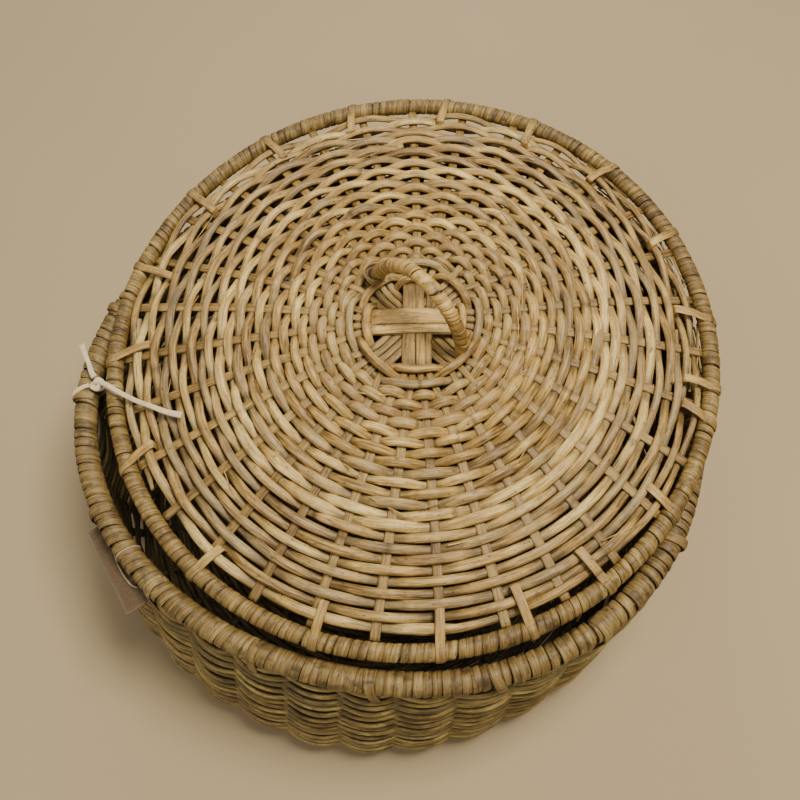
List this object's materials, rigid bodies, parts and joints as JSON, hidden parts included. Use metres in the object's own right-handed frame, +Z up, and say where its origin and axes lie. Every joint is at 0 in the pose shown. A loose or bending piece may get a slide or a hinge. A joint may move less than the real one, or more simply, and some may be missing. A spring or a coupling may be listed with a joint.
{
  "type": "round wicker basket",
  "caption": "Shallow round basket of woven cane on flat stakes, with a slightly domed woven lid tied on at one side, a wrapped arch handle and a small blank tag.",
  "frame": {"origin": "middle of the base, where its stakes cross, on the surface it stands on", "axes": "+Z up through the lid; the cord tie that hinges the lid is at -X, and the lid opens upwards from its +X side"},
  "size_m": [0.4179, 0.4428, 0.2225],
  "materials": {
    "lid_cane": "glossy round peeled cane, honey coloured, a little uneven from rod to rod",
    "wall_cane": "thinner round cane, darker and more olive, dusty in the hollows",
    "binding_cane": "flat half-round binding cane wrapped round the hoops and the handle, satin",
    "tie_cord": "off-white soft twisted cord, matt",
    "tag_card": "plain brown card, matt, no print"
  },
  "bodies": {
    "basket": {"stake_1_1": "wall_cane", "stake_1_2": "wall_cane", "stake_1_3": "wall_cane", "stake_1_4": "wall_cane", "stake_2_1": "wall_cane", "stake_2_2": "wall_cane", "stake_2_3": "wall_cane", "stake_2_4": "wall_cane", "stake_3_1": "wall_cane", "stake_3_2": "wall_cane", "stake_3_3": "wall_cane", "stake_3_4": "wall_cane", "stake_4_1": "wall_cane", "stake_4_2": "wall_cane", "stake_4_3": "wall_cane", "stake_4_4": "wall_cane", "stake_extra": "wall_cane", "side_weave": "wall_cane", "corner_weave": "wall_cane", "base_weave": "wall_cane", "rim_hoop": "binding_cane", "rim_binding": "binding_cane", "tie_loop_rim": "tie_cord", "tie_knot": "tie_cord", "tie_tail_short": "tie_cord", "tag_string": "tie_cord"},
    "lid": {"lid_spoke_1_1": "lid_cane", "lid_spoke_1_2": "lid_cane", "lid_spoke_1_3": "lid_cane", "lid_spoke_1_4": "lid_cane", "lid_spoke_2_1": "lid_cane", "lid_spoke_2_2": "lid_cane", "lid_spoke_2_3": "lid_cane", "lid_spoke_2_4": "lid_cane", "lid_spoke_3_1": "lid_cane", "lid_spoke_3_2": "lid_cane", "lid_spoke_3_3": "lid_cane", "lid_spoke_3_4": "lid_cane", "lid_spoke_4_1": "lid_cane", "lid_spoke_4_2": "lid_cane", "lid_spoke_4_3": "lid_cane", "lid_spoke_4_4": "lid_cane", "lid_weave": "lid_cane", "lid_hoop": "binding_cane", "lid_binding": "binding_cane", "handle_core": "binding_cane", "handle_wrap": "binding_cane", "tie_loop_lid": "tie_cord", "tie_tail_long": "tie_cord"},
    "tag": {"tag": "tag_card"}
  },
  "joints": [
    {"name": "lid_hinge", "type": "hinge", "parent": "basket", "child": "lid", "pos_m": [-0.177, 0.006, 0.143], "axis": [0, -1, 0], "range_deg": [0, 100]},
    {"name": "tag_swing", "type": "hinge", "parent": "basket", "child": "tag", "pos_m": [-0.142, -0.1029, 0.125], "axis": [-0.585, 0.8111, 0], "range_deg": [0, 60]}
  ]
}
